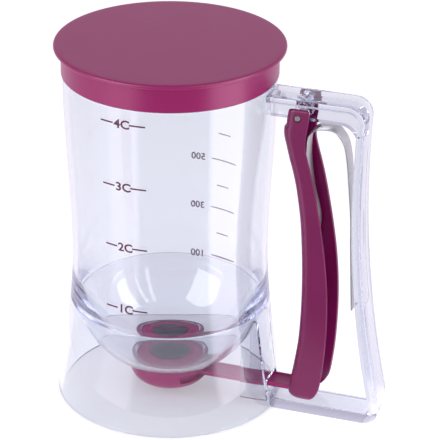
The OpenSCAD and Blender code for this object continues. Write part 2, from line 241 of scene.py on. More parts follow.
# %% Clear plastic
STYRENE_INDEX, TINT_DENSITY, TINT = 1.57, 9.0, (0.20, 0.24, 0.52, 1)


def clear_plastic(name, tone, wave_mm, wave_height_mm):
    """Glass with index 1.57, a faint wave in its surface and absorption in its volume.
    Each time light crosses a face it keeps the root of the tone, and the volume takes
    density times (1 - colour) of each channel for every metre."""
    m, t, out = new_material(name)
    place = node(t, "ShaderNodeTexCoord", (-900, 0))
    flow = node(t, "ShaderNodeMapping", (-700, 0), {"Vector": place.outputs["Object"]},
                Scale=(1, 1, 0.35))
    wave = node(t, "ShaderNodeTexNoise", (-500, 0), {"Vector": flow.outputs["Vector"]},
                Scale=1 / (wave_mm * MM), Detail=1.0, Roughness=0.4)
    bump = node(t, "ShaderNodeBump", (-300, -200), {"Height": wave.outputs["Fac"]},
                Strength=1.0, Distance=wave_height_mm * MM)
    glass = node(t, "ShaderNodeBsdfPrincipled", (0, 0), {"Normal": bump.outputs["Normal"]},
                 Roughness=0.02, IOR=STYRENE_INDEX)
    glass.inputs["Base Color"].default_value = linear(tone)
    glass.inputs["Transmission Weight"].default_value = 1.0
    # Shadow rays go straight through, so a clear wall casts no more shade than it takes.
    lamp = node(t, "ShaderNodeLightPath", (200, 300))
    through = node(t, "ShaderNodeBsdfTransparent", (200, -200))
    through.inputs["Color"].default_value = linear("#F1F1F8")
    both = node(t, "ShaderNodeMixShader", (500, 0), {0: lamp.outputs["Is Shadow Ray"]})
    t.links.new(glass.outputs[0], both.inputs[1])
    t.links.new(through.outputs[0], both.inputs[2])
    tint = node(t, "ShaderNodeVolumeAbsorption", (500, -300), Density=TINT_DENSITY)
    tint.inputs["Color"].default_value = TINT
    t.links.new(both.outputs[0], out.inputs["Surface"])
    t.links.new(tint.outputs[0], out.inputs["Volume"])
    return m


clear = clear_plastic("clear_styrene", "#F0F2F6", 28, 0.05)
clear_handle = clear_plastic("clear_styrene_handle", "#E2E4EC", 22, 0.03)
print("made", clear.name, "and", clear_handle.name)

# %% [markdown]
# ## Plum plastic
#
# The lid, the trigger and the valve are polypropylene: a satin surface that is soft to the
# touch, dyed all through. A fine grain from the mould, a few tenths of a millimetre wide,
# breaks up the highlight, and the dye is a little uneven over centimetres.

# %% Plum plastic
def plum_plastic(name, deep, light, roughness):
    """Satin plastic. The colour wanders between two dyes over 30 mm, and the grain is a
    noise 0.5 mm wide, which is as fine as shows."""
    m, t, out = new_material(name)
    place = node(t, "ShaderNodeTexCoord", (-1100, 0))
    drift = node(t, "ShaderNodeTexNoise", (-800, 200), {"Vector": place.outputs["Object"]},
                 Scale=1 / (30 * MM), Detail=2.0)
    grain = node(t, "ShaderNodeTexNoise", (-800, -200), {"Vector": place.outputs["Object"]},
                 Scale=1 / (0.5 * MM), Detail=2.0)
    dye = node(t, "ShaderNodeMix", (-500, 200), {"Factor": drift.outputs["Fac"]},
               data_type="RGBA")
    dye.inputs[6].default_value = linear(deep)
    dye.inputs[7].default_value = linear(light)
    sheen = node(t, "ShaderNodeMapRange", (-500, -100), {"Value": drift.outputs["Fac"]},
                 To_Min=roughness - 0.04, To_Max=roughness + 0.05)
    bump = node(t, "ShaderNodeBump", (-300, -300), {"Height": grain.outputs["Fac"]},
                Strength=0.25, Distance=0.03 * MM)
    body = node(t, "ShaderNodeBsdfPrincipled", (0, 0),
                {"Base Color": dye.outputs[2], "Roughness": sheen.outputs[0],
                 "Normal": bump.outputs["Normal"]}, IOR=1.46)
    t.links.new(body.outputs[0], out.inputs["Surface"])
    return m


plum = plum_plastic("plum_polypropylene", "#990A5E", "#A01064", 0.32)
plum_deep = plum_plastic("deep_plum_polypropylene", "#7A0950", "#820D57", 0.3)
print("made", plum.name, "and", plum_deep.name)

# %% [markdown]
# ## Steel, silicone and ink
#
# The spring is rolled strip: rolling draws fine lines along it, so the noise is stretched
# along the strip. The pin is turned and polished. The valve's button is silicone rubber,
# which is matt. The scales are screen-printed with a dark plum ink.

# %% Steel, silicone and ink
def steel(name, tone, roughness, along):
    """Metal with fine lines. The noise is squeezed to 0.3 mm across the lines and drawn
    out to 12 mm along them."""
    m, t, out = new_material(name)
    place = node(t, "ShaderNodeTexCoord", (-1000, 0))
    size = [1 / (0.3 * MM)] * 3
    size[along] = 1 / (12 * MM)
    stretch = node(t, "ShaderNodeMapping", (-800, 0), {"Vector": place.outputs["Object"]},
                   Scale=size)
    lines = node(t, "ShaderNodeTexNoise", (-600, 0), {"Vector": stretch.outputs["Vector"]},
                 Scale=1.0, Detail=3.0)
    rough = node(t, "ShaderNodeMapRange", (-300, 0), {"Value": lines.outputs["Fac"]},
                 To_Min=roughness - 0.08, To_Max=roughness + 0.1)
    bump = node(t, "ShaderNodeBump", (-300, -200), {"Height": lines.outputs["Fac"]},
                Strength=0.2, Distance=0.02 * MM)
    metal = node(t, "ShaderNodeBsdfPrincipled", (0, 0),
                 {"Roughness": rough.outputs[0], "Normal": bump.outputs["Normal"]},
                 Metallic=1.0)
    metal.inputs["Base Color"].default_value = linear(tone)
    t.links.new(metal.outputs[0], out.inputs["Surface"])
    return m


def flat_finish(name, tone, roughness, grain_mm, rise_mm):
    """A plain finish with a fine grain: silicone, or dried ink."""
    m, t, out = new_material(name)
    place = node(t, "ShaderNodeTexCoord", (-800, 0))
    grain = node(t, "ShaderNodeTexNoise", (-600, 0), {"Vector": place.outputs["Object"]},
                 Scale=1 / (grain_mm * MM), Detail=2.0)
    bump = node(t, "ShaderNodeBump", (-300, 0), {"Height": grain.outputs["Fac"]},
                Strength=0.3, Distance=rise_mm * MM)
    body = node(t, "ShaderNodeBsdfPrincipled", (0, 0), {"Normal": bump.outputs["Normal"]},
                Roughness=roughness, IOR=1.45)
    body.inputs["Base Color"].default_value = linear(tone)
    t.links.new(body.outputs[0], out.inputs["Surface"])
    return m


spring_steel = steel("rolled_spring_steel", "#B9BAB8", 0.34, 2)
pin_steel = steel("turned_pin_steel", "#C9C7C4", 0.22, 1)
silicone = flat_finish("grey_silicone", "#4B3B4C", 0.55, 0.6, 0.03)
ink = flat_finish("plum_ink", "#5E1238", 0.6, 0.4, 0.01)
print("made", spring_steel.name, pin_steel.name, silicone.name, ink.name)


def wear(obj, material):
    """Gives a piece one material and no other, also after cuts that brought in slots."""
    obj.data.materials.clear()
    obj.data.materials.append(material)


# %% [markdown]
# ## The jug
#
# The barrel, the bowl, the spout and the foot are one moulding, so one closed profile is
# turned about the axis: up the outside, over the rim, down the inside, along the bowl,
# through the spout and back under it. A potter's lathe makes the same shape. The barrel is
# not a cylinder: it narrows to a waist and flares again to the table. The bowl is a deep egg,
# which holds the first cup and lets thick batter slide down to the spout.

# %% Sizes of the jug
# The outside: the rim, the height where it stops widening, the waist and the foot.
RIM_Z, RIM_R, SHOULDER_Z = 183.6, 51.7, 166
WAIST_Z, WAIST_R, FOOT_R, SKIRT_POWER = 77, 48.4, 56.9, 1.55
# The wall, and the neck that the lid slides over.
WALL, NECK_R, NECK_Z = 2.4, 51.1, 170.7
# The bowl's height, depth and fullness, its thickness at the rim and low down, and the
# notch where its underside meets the wall.
BOWL_TOP, BOWL_DEEP, BOWL_POWER, NOTCH_R = 66.5, 52.0, 2.2, 0.35
BOWL_T_TOP, BOWL_T_LOW = 1.9, 2.3
# The spout, and how many steps a turn of the wide pieces takes.
SPOUT_BORE, SPOUT_R, SPOUT_Z = 17, 19.5, 16.6
WIDE_TURN = 192


def barrel(z):
    """Outer radius at height z. Above the waist it eases as half a cosine wave up to the
    rim, and below the waist it grows as the 1.55th power of the drop."""
    z = np.asarray(z, float)
    up = np.clip((z - WAIST_Z) / (SHOULDER_Z - WAIST_Z), 0, 1)
    low = np.clip((WAIST_Z - z) / WAIST_Z, 0, 1)
    upper = WAIST_R + (RIM_R - WAIST_R) * (1 - np.cos(np.pi * up)) / 2
    return np.where(z >= WAIST_Z, upper, WAIST_R + (FOOT_R - WAIST_R) * low ** SKIRT_POWER)


# %% The bowl
APEX_GAP, BORE_GAP, LIP_GAP, LIP_DROP, CROWDING = 0.05, 0.4, 0.3, 0.2, 1.3


def bowl_lines(top, deep, power, t_top, t_low):
    """The bowl's upper face and underside. The upper face is the lower half of an egg with
    full shoulders: at angle t it lies at the wall's radius times cos t to the power 2 / p,
    and deep times sin t to the same power below the top. The underside lies one thickness
    along the normal. It stops ten notch radii short of the wall, and a straight line takes
    it to the crease, which leaves room to round the notch there. The points lie closer
    together near the rim, where the curve turns fastest."""
    wall_in = float(barrel(top)) - WALL
    t_end = math.acos(((SPOUT_BORE + BORE_GAP) / wall_in) ** (power / 2))
    t = np.linspace(0, 1, 120) ** CROWDING * t_end
    upper = np.column_stack([wall_in * np.cos(t) ** (2 / power),
                             top - deep * np.sin(t) ** (2 / power)])
    run = np.gradient(upper, axis=0)
    normal = np.column_stack([-run[:, 1], run[:, 0]]) / np.linalg.norm(run, axis=1)[:, None]
    thick = t_top + (t_low - t_top) * (top - upper[:, 1]) / deep
    lower = upper + thick[:, None] * normal
    apex = lower[np.argmax(lower[:, 0] < barrel(lower[:, 1]) - WALL - APEX_GAP)]
    crease = [float(barrel(apex[1])) - WALL, apex[1]]
    free = (np.linalg.norm(lower - crease, axis=1) > 10 * NOTCH_R) & (lower[:, 1] < apex[1])
    free &= lower[:, 0] > SPOUT_R + LIP_GAP
    spout_top = [SPOUT_R, lower[free][-1, 1] - LIP_DROP]
    return upper, np.vstack([[spout_top], lower[free][::-1], [crease]])


bowl, below = bowl_lines(BOWL_TOP, BOWL_DEEP, BOWL_POWER, BOWL_T_TOP, BOWL_T_LOW)
print("the bowl ends at", np.round(bowl[-1], 1),
      "and its underside meets the wall at", np.round(below[-1], 1))

# %% The jug's profile
# The radii round the foot, the four corners of the neck, the four of the spout and the
# crease; the points in between lie on smooth curves and stay.
z_out = np.linspace(2, 168, 120)
z_in = np.linspace(178, BOWL_TOP + 1, 70)
z_low = np.linspace(below[-1, 1] - 5, 2, 26)
foot = [(float(barrel(0)) - WALL, 0), (float(barrel(0)), 0)]
outside = np.column_stack([barrel(z_out), z_out])
neck = [(RIM_R, NECK_Z), (NECK_R, NECK_Z), (NECK_R, RIM_Z), (RIM_R - WALL, RIM_Z)]
inside = np.column_stack([barrel(z_in) - WALL, z_in])
spout = [(SPOUT_BORE, bowl[-1, 1] - BORE_GAP), (SPOUT_BORE, SPOUT_Z), (SPOUT_R, SPOUT_Z)]
under = np.column_stack([barrel(z_low) - WALL, z_low])
corners = np.vstack([foot, outside, neck, inside, bowl, spout, below, under, foot[:1]])
FOOT_EDGE, NECK_EDGES, SPOUT_EDGES = [1.0], [0.3, 0.3, 0.7, 0.7], [0.2, 0.2, 0.4, 0.2]
radii = (FOOT_EDGE + [0] * len(outside) + NECK_EDGES + [0] * (len(inside) + len(bowl))
         + SPOUT_EDGES + [0] * (len(below) - 2) + [NOTCH_R] + [0] * len(under))
jug = turned("jug_moulding", rounded(corners, radii, 8)[:-1], WIDE_TURN)

# %% [markdown]
# Inside the foot two thin plates flank the valve's arm, and a slot lets the arm out to the
# trigger. The plates are joined to the jug and the slot is cut from it, as the mould does it.

# %% Plates and slot in the foot
def plate(name, outline, y0, y1):
    """A flat plate between y0 and y1 with the outline given in X and Z."""
    x, z = np.asarray(outline, float).T
    return swept(name, np.stack([np.column_stack([x, 0 * x + y, z]) for y in (y0, y1)]))


def lower_radius(z):
    """Radius in the middle of the foot's wall at height z."""
    return float(barrel(z)) - WALL / 2


GUIDE_X, GUIDE_Y, GUIDE_T = 40.0, 8.2, 1.8
GUIDE_LOW, GUIDE_BEND, GUIDE_TIP = 4, (GUIDE_X, 34.0), (GUIDE_X + 5.5, 47.6)
WALL_FROM, WALL_Y = 46, 9
for side in (-1, 1):
    zs = np.linspace(WALL_FROM, GUIDE_LOW, 8)
    wall_line = [(math.sqrt(lower_radius(z) ** 2 - WALL_Y ** 2), z) for z in zs]
    shape = [(GUIDE_X, GUIDE_LOW), GUIDE_BEND, GUIDE_TIP] + wall_line
    y0, y1 = sorted((side * (GUIDE_Y - GUIDE_T / 2), side * (GUIDE_Y + GUIDE_T / 2)))
    join(jug, plate("guide", shape, y0, y1), "UNION")

SLOT_LOW, SLOT_TOP, SLOT_HALF, SLOT_CORNER = 6.4, 15.1, 7.3, 2.5
SLOT_FROM, SLOT_TO = 46.5, 70
hole = rounded([(0, SLOT_LOW), (-SLOT_HALF, SLOT_LOW), (-SLOT_HALF, SLOT_TOP),
                (SLOT_HALF, SLOT_TOP), (SLOT_HALF, SLOT_LOW), (0, SLOT_LOW)],
               [SLOT_CORNER] * 4, 6)[:-1]
cutter = swept("slot", np.stack([np.column_stack([0 * hole[:, 0] + x, hole])
                                 for x in (SLOT_FROM, SLOT_TO)]))
join(jug, cutter, "DIFFERENCE")
wear(jug, clear)
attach(jug, "jug")
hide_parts("jug_body")
print("jug:", len(jug.data.polygons), "faces")

# %% [markdown]
# ## The handle
#
# The handle is a flat strip of the same plastic that leaves the barrel under the lid, turns
# down into the grip and comes back to the foot. Its section is a rectangle with soft edges.
# It is carried along the path between an outer and an inner line, which also makes the strip
# thicker towards the foot. A lug under the top arm holds the pin, and a low pad inside the
# grip is what the spring leans on.

# %% Lines of the handle
ARM_TOP, ARM_T, FOOT_T, STRIP_HALF = 168.4, 3.5, 5.6, 8.5
GRIP_X, CORNER, FLARE, FLARE_POWER, LIFT = 98.6, 8.5, 13.4, 1.9, 0.4
BOW_DROP, BOW_SPAN, FOOT_LEAN_DEG = 43, 35, 13
THICK_FROM, THICK_SPAN_CUT = 18, 40
BOW_Z = ARM_TOP - BOW_DROP
GRIP_LOW = CORNER * (1 + math.sin(math.radians(FOOT_LEAN_DEG))) + LIFT
LEAN = math.atan(FLARE_POWER * FLARE / (BOW_Z - GRIP_LOW))


def grip(z):
    """Outer face of the grip: a shallow parabola above the bow, and below it a flare that
    grows as the 1.9th power of the drop."""
    z = np.asarray(z, float)
    up = np.maximum(z - BOW_Z, 0) / BOW_SPAN
    low = np.maximum(BOW_Z - z, 0) / (BOW_Z - GRIP_LOW)
    return GRIP_X + up ** 2 + FLARE * low ** FLARE_POWER


def strip_thickness(z):
    """Thickness of the strip, which grows evenly from the top arm to the foot."""
    span = ARM_TOP - CORNER - GRIP_LOW - THICK_SPAN_CUT
    share = (np.asarray(z, float) - GRIP_LOW - THICK_FROM) / span
    return FOOT_T + (ARM_T - FOOT_T) * np.clip(share, 0, 1)


def arc(centre, r, a, b, n):
    """Points on a circle from angle a to angle b, in degrees."""
    t = np.radians(np.linspace(a, b, n))
    return np.column_stack([centre[0] + r * np.cos(t), centre[1] + r * np.sin(t)])


top_z = ARM_TOP - CORNER
top_c = (float(grip(top_z)) - CORNER, top_z)
low_c = (float(grip(GRIP_LOW)) - CORNER * math.cos(LEAN), LIFT + CORNER)
low_start = low_c[1] + CORNER * math.sin(LEAN)
gz = np.linspace(top_z, low_start, 62)[1:-1]
arm_x = np.linspace(RIM_R, top_c[0], 22)[:-1]
foot_x = np.linspace(low_c[0], FOOT_R, 24)[1:]
line_out = np.vstack([np.column_stack([arm_x, 0 * arm_x + ARM_TOP]),
                      arc(top_c, CORNER, 90, 0, 14),
                      np.column_stack([grip(gz), gz]),
                      arc(low_c, CORNER, math.degrees(LEAN), -90, 16),
                      np.column_stack([foot_x, 0 * foot_x + LIFT])])
line_in = np.vstack([np.column_stack([arm_x, 0 * arm_x + ARM_TOP - ARM_T]),
                     arc(top_c, CORNER - ARM_T, 90, 0, 14),
                     np.column_stack([grip(gz) - strip_thickness(gz), gz]),
                     arc(low_c, CORNER - FOOT_T, math.degrees(LEAN), -90, 16),
                     np.column_stack([foot_x, 0 * foot_x + LIFT + FOOT_T])])
print("handle lines:", len(line_out), "stations")


# %% The strip
def soft_box(half, depth, r, n):
    """A rectangle with rounded corners, as (across, share of the depth). The corner radius
    is the same in millimetres both ways."""
    box = [(0, 0), (half, 0), (half, depth), (-half, depth), (-half, 0), (0, 0)]
    line = rounded(box, [r] * 4, n)[:-1]
    return line[:, 0], line[:, 1] / depth


def strip_section(outer, inner, half, r):
    """The soft rectangle between two points of the outer and the inner line."""
    y, share = soft_box(half, float(np.linalg.norm(outer - inner)), r, 4)
    xz = outer + share[:, None] * (inner - outer)
    return np.column_stack([xz[:, 0], y, xz[:, 1]])


STRIP_EDGE, BOND = 0.9, 0.05
strip = np.stack([strip_section(o, i, STRIP_HALF, STRIP_EDGE)
                  for o, i in zip(line_out, line_in)])
for end in (0, -1):
    x, y, z = strip[end].T
    strip[end, :, 0] = np.sqrt((barrel(z) + BOND) ** 2 - y ** 2)
handle = swept("handle", strip)

# %% [markdown]
# The lug and the pad are added to the strip as solids, because one clear body has no faces
# inside it. Faces left inside would show up as dark lines.

# %% Lug, pad and pin hole
PIN_X, PIN_Z, PIN_R = 67.2, 159.7, 1.75
LUG_Z, LUG_HALF, LUG_CORNER, LUG_GAP = 156.4, 3.0, 8.5, 0.15
PAD_T, PAD_HALF, PAD_SINK, BOSS_R, BOSS_HALF = 0.9, 4.9, 1, 4.2, 8.7
face_x = float(grip(LUG_Z - LUG_CORNER) - strip_thickness(LUG_Z - LUG_CORNER)) - PAD_T
lug_line = np.vstack([[(RIM_R + LUG_GAP, LUG_Z)],
                      arc((face_x - LUG_CORNER, LUG_Z - LUG_CORNER), LUG_CORNER, 90, 0, 12),
                      [(face_x + PAD_T + PAD_SINK, LUG_Z - LUG_CORNER - 2)],
                      arc(top_c, CORNER - ARM_T / 2, 0, 90, 10),
                      [(RIM_R + LUG_GAP, ARM_TOP - ARM_T / 2)]])
join(handle, plate("lug", lug_line, -LUG_HALF, LUG_HALF), "UNION")


def pin_rings(stations):
    """Rings round the hinge's axis, one for each radius and place along Y."""
    t = np.linspace(0, 2 * np.pi, 48, endpoint=False)
    return np.stack([np.column_stack([PIN_X + r * np.cos(t), 0 * t + y, PIN_Z + r * np.sin(t)])
                     for r, y in stations])


def pin_shaped(name, r, half):
    """A rod along Y on the hinge's axis."""
    return swept(name, pin_rings([(r, -half), (r, half)]))


join(handle, pin_shaped("boss", BOSS_R, BOSS_HALF), "UNION")
PAD_LOW = low_start + 0.36 * (LUG_Z - low_start)
pz = np.linspace(LUG_Z - 6, PAD_LOW, 40)
front = np.column_stack([grip(pz) - strip_thickness(pz) - PAD_T, pz])
back = np.column_stack([grip(pz) - strip_thickness(pz) + PAD_SINK, pz])
join(handle, plate("pad", np.vstack([front, back[::-1]]), -PAD_HALF, PAD_HALF), "UNION")
join(handle, pin_shaped("pin_hole", PIN_R + 0.02, 12), "DIFFERENCE")
wear(handle, clear_handle)
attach(handle, "jug")
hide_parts("handle_frame")
print("handle:", len(handle.data.polygons), "faces")

# %% [markdown]
# ## The lid
#
# The lid is a flat disc with a rounded lip, a skirt that slides over the jug's neck and a
# ring that plugs its mouth. It is turned from one profile as well. The top gets extra rings
# of points, because a face as wide as the lid would shade unevenly.

# %% The lid
LID_R, LID_TOP, LID_EDGE, SKIRT_Z = 56.0, 186.0, 1.15, 171.0
skirt_in, skirt_out = NECK_R + 0.3, NECK_R + 1.4
plug_out, PLUG_T, PLUG_DEEP = RIM_R - WALL - 0.3, 1.4, 5
under_lid = RIM_Z + 0.02
lid_line = rounded(
    [(0, under_lid), (plug_out - PLUG_T, under_lid), (plug_out - PLUG_T, RIM_Z - PLUG_DEEP),
     (plug_out, RIM_Z - PLUG_DEEP), (plug_out, under_lid), (skirt_in, under_lid),
     (skirt_in, SKIRT_Z), (skirt_out, SKIRT_Z),
     (skirt_out, under_lid), (LID_R, under_lid), (LID_R, LID_TOP), (0, LID_TOP)],
    [0.4, 0.4, 0.5, 0.1, 0.1, 0.3, 0.35, 0.8, LID_EDGE, LID_EDGE], 6)
dense = np.linspace(0, LID_R - LID_EDGE - 0.05, 24)[::-1]
lid_line = np.vstack([lid_line[:-1], np.column_stack([dense[1:], 0 * dense[1:] + LID_TOP])])
lid = turned("press_lid", lid_line, WIDE_TURN)
wear(lid, plum)
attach(lid, "lid")
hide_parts("lid")

# %% [markdown]
# ## The trigger
#
# The trigger is a bowed channel, open towards the grip. Think of a boat stood on its bow:
# its keel runs down the front and curls round the toe, and its two gunwales are the open
# edges. At each station a U-shaped section joins the keel to the gunwales, with a generous
# corner between the front and the sides. Two ears at the top turn on the pin.

# %% The trigger's lines
keel = [(62.0, 164.3), (61.4, 164.0), (61.1, 162.4), (60.5, 158.2), (60.3, 154.5), (59.85, 153.5),
        (59.9, 149.4), (61.1, 144.4), (62.7, 137.9), (64.3, 132.4), (66, 125.4), (67.4, 117.7),
        (68.9, 107.3), (69.8, 96.8), (70.4, 86.2), (70.7, 75.4), (70.7, 64.4), (70.4, 53.4),
        (69.7, 42.1), (68.6, 33.5), (67.4, 26), (66.3, 19.5), (65.4, 14.2), (65.3, 11.6),
        (66.2, 9.6), (68.0, 8.4), (70.0, 7.95), (71.6, 7.82), (72.6, 7.8)]
gunwale = [(71.0, 164.3), (72.1, 163.8), (72.6, 161.8), (72.3, 158.2), (71.75, 154.6),
           (71.6, 153.6), (71.05, 149.5), (71.0, 144.4), (72.5, 137.9), (74.0, 132.6),
           (75.8, 125.4), (77.4, 117.9), (79.4, 107.3), (81.1, 97), (82.6, 86.4), (83.7, 75.4),
           (84.3, 64.4), (84.4, 53.6), (84.1, 43.2), (83.5, 33.5), (82.7, 26), (81.9, 20),
           (80.9, 15.4), (79.7, 12.7), (78.3, 10.6), (76.7, 9.2), (75.2, 8.35), (74.0, 7.97),
           (73.4, 7.83)]
K, G = smooth_line(keel, 5), smooth_line(gunwale, 5)
HALF, WAISTED, SIDE_T, FRONT_T, TOE_Z, EAR_Z = 10.8, 10.1, 1.8, 2.0, 7.8, 164.3
EASE_FROM, EASE_SPAN, TOE_R, EAR_R = 79, 60, 5, 1.4


def half_width(z):
    """Half the trigger's width at height z: it eases from the full width to the narrower
    top, and both ends are quarter circles, 5 mm at the toe and 1.4 mm at the ears."""
    z = np.asarray(z, float)
    s = np.clip((z - EASE_FROM) / EASE_SPAN, 0, 1)
    w = HALF + (WAISTED - HALF) * s * s * (3 - 2 * s)
    for end, r in ((z - TOE_Z, TOE_R), (EAR_Z - z, EAR_R)):
        into = np.clip(r - end, 0, r)
        w = w - (r - np.sqrt(np.maximum(r ** 2 - into ** 2, 0)))
    return w


# %% The trigger's surface
OUT_CORNER, IN_CORNER, LIP_ROUND = 4.2, 2.4, 0.45


def channel_side(k, g, inset, side_in, r, n_side=8, n_arc=8, n_front=7):
    """Half of a U: from the gunwale g down the side, round a corner of radius r and along
    the front to the middle, at the keel k. The inset moves the front in from the keel and
    side_in the side from the half width, for the inner face."""
    depth = np.linalg.norm(k - g)
    depth -= min(inset, 0.5 * depth)
    r = min(r, 0.48 * depth)
    u = np.concatenate([np.linspace(0, depth - r, n_side, endpoint=False),
                        depth - r + r * np.sin(np.linspace(0, np.pi / 2, n_arc)),
                        np.full(n_front, depth)])
    y_in = np.concatenate([np.zeros(n_side),
                           r * (1 - np.cos(np.linspace(0, np.pi / 2, n_arc)))])
    along = (k - g) / np.linalg.norm(k - g)
    xz = g + u[:, None] * along
    w = half_width(xz[:, 1]) - side_in
    front = (w[n_side + n_arc - 1] - r) * (1 - np.linspace(0, 1, n_front + 1)[1:])
    y = np.concatenate([w[:n_side + n_arc] - y_in, front])
    return np.column_stack([xz[:, 0], y, xz[:, 1]])


def mirrored(half):
    """Both halves of a section, from the near edge to the far one."""
    near = half * (1, -1, 1)
    return np.vstack([near, half[:-1][::-1]])


def channel(k, g):
    """A closed U: the outside, a rounded edge at the far gunwale, the inside, and a rounded
    edge at the near one."""
    out = mirrored(channel_side(k, g, 0, 0, OUT_CORNER))
    inn = mirrored(channel_side(k, g, FRONT_T, SIDE_T, IN_CORNER))
    back = (g - k) / np.linalg.norm(g - k) * LIP_ROUND
    lip = lambda a, b: (a + b) / 2 + (back[0], 0, back[1])
    return np.vstack([out, lip(out[-1], inn[-1])[None], inn[::-1], lip(inn[0], out[0])[None]])


sections = np.stack([channel(k, g) for k, g in zip(K[:-1], G[:-1])])
trigger = swept("trigger_shell", sections, 50)

# %% [markdown]
# The fork between the ears, the pin's hole and the window for the arm are cut last, which
# keeps the surface itself simple.

# %% Cuts in the trigger
def block(name, low, high):
    """A box between two corners, to cut with."""
    (x0, y0, z0), (x1, y1, z1) = low, high
    ring = np.array([(x0, y0), (x1, y0), (x1, y1), (x0, y1)])
    return swept(name, np.stack([np.column_stack([ring, [z] * 4]) for z in (z0, z1)]))


FORK_LOW, FORK_HIGH = (45, -9.0, 153.7), (100, 9.0, 175)
WINDOW_LOW, WINDOW_HIGH = (56.9, -5.85, 10.85), (68.8, 5.85, 13.65)
join(trigger, block("fork", FORK_LOW, FORK_HIGH), "DIFFERENCE")
join(trigger, pin_shaped("ear_holes", PIN_R + 0.06, 15), "DIFFERENCE")
join(trigger, block("window", WINDOW_LOW, WINDOW_HIGH), "DIFFERENCE")
wear(trigger, plum_deep)
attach(trigger, "trigger")
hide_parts("trigger")
print("trigger:", len(trigger.data.polygons), "faces")

# %% [markdown]
# ## The valve
#
# The cup is turned, with a flat top that seals, a round belly and a flat bottom. Its side has
# a shallow pocket round the place where the arm goes in. A silicone button on it reaches up
# into the spout. The arm is a strip with a low lip along each edge; its section is carried
# straight from the cup to the trigger.

# %% Cup and button
CUP_TOP, CUP_LOW, CUP_R, CUP_FOOT = 16.4, 4.4, 20.5, 12
CUP_BELLY, CROWN_R, CROWN_FOOT_R, CROWN_Z = 9.8, 12.6, 16.2, 17.8
POCKET_R, POCKET_OUT, POCKET_LOW, POCKET_TOP = 16.8, 23, 9.4, 13.8
a = np.radians(np.linspace(0, 90, 24))
belly = np.column_stack([CUP_FOOT + (CUP_R - CUP_FOOT) * np.sin(a),
                         CUP_LOW + CUP_BELLY * (1 - np.cos(a))])
rim_line = [belly[-1], (CUP_R, CUP_TOP), (CROWN_FOOT_R, CUP_TOP), (CROWN_R, CROWN_Z),
            (9.5, CROWN_Z)]
cup_line = np.vstack([[(0, CUP_LOW)], belly, rounded(rim_line, [0.6, 0.8, 0.8], 6)[1:],
                      [(0, CROWN_Z)]])
cup = turned("valve_dish", cup_line, 128)
pocket = turned("pocket", [(POCKET_R, POCKET_LOW), (POCKET_OUT, POCKET_LOW),
                           (POCKET_OUT, POCKET_TOP), (POCKET_R, POCKET_TOP)], 96)
join(pocket, block("arm_side", (11, -18, 8), (24, 18, 15)), "INTERSECT")
join(cup, pocket, "DIFFERENCE")
BUTTON_R, BUTTON_TOP, RIM_H, DOME_POWER = 10.4, 21.2, 0.6, 1.5
SEAT, BUTTON_EDGE = 0.02, 0.4
b = np.radians(np.linspace(90, 0, 24))
dome_h = BUTTON_TOP - CROWN_Z - RIM_H
dome = np.column_stack([BUTTON_R * np.sin(b), CROWN_Z + RIM_H + dome_h * np.cos(b) ** DOME_POWER])
button_foot = [(0, CROWN_Z + SEAT), (BUTTON_R - BUTTON_EDGE, CROWN_Z + SEAT),
               (BUTTON_R, CROWN_Z + BUTTON_EDGE)]
button = turned("valve_button", np.vstack([button_foot, dome]), 96)

# %% Arm
ARM_HALF, ARM_Z, ARM_THICK, LIP, LIP_W = 5.7, 11.0, 1.6, 0.9, 1.1
arm_line = rounded(
    [(0, ARM_Z), (-ARM_HALF, ARM_Z), (-ARM_HALF, ARM_Z + ARM_THICK + LIP),
     (-ARM_HALF + LIP_W, ARM_Z + ARM_THICK + LIP), (-ARM_HALF + LIP_W, ARM_Z + ARM_THICK),
     (ARM_HALF - LIP_W, ARM_Z + ARM_THICK), (ARM_HALF - LIP_W, ARM_Z + ARM_THICK + LIP),
     (ARM_HALF, ARM_Z + ARM_THICK + LIP), (ARM_HALF, ARM_Z), (0, ARM_Z)],
    [0.35, 0.3, 0.3, 0.3, 0.3, 0.3, 0.3, 0.35], 3)[:-1]
arm_x0, arm_x1 = math.sqrt(POCKET_R ** 2 - ARM_HALF ** 2) + 0.1, 69.8
HOOK_LOW, HOOK_HIGH = (67.8, -4.1, 12.0), (arm_x1, 4.1, 14.2)
arm = swept("valve_lever", np.stack([np.column_stack([0 * arm_line[:, 0] + x, arm_line])
                                     for x in np.linspace(arm_x0, arm_x1, 24)]))
join(arm, block("hook", HOOK_LOW, HOOK_HIGH), "UNION")
for piece, mat, slot, cad in ((cup, plum, "plum_plastic", "valve_cup"),
                              (button, silicone, "grey_silicone", "valve_seal"),
                              (arm, plum, "plum_plastic", "valve_arm")):
    wear(piece, mat)
    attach(piece, "trigger")
    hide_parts(cad)

# %% [markdown]
# ## The pin and the leaf spring
#
# The pin is a turned rod with a small chamfer. The spring is one strip of steel bent like a
# hairpin: its back leg leans on the pad in the grip and its front leg runs down inside the
# trigger and pushes it away. It bends as the trigger moves; here it is one fixed shape, baked
# into place and attached to neither the jug nor the trigger.

# %% Pin
PIN_HALF, CHAMFER = 9.9, 0.4
PIN_TIP = PIN_R - CHAMFER
pin = swept("hinge_pin_turned", pin_rings([(PIN_TIP, -PIN_HALF), (PIN_R, CHAMFER - PIN_HALF),
                                           (PIN_R, PIN_HALF - CHAMFER), (PIN_TIP, PIN_HALF)]))
wear(pin, pin_steel)
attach(pin, "jug")
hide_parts("hinge_pin")

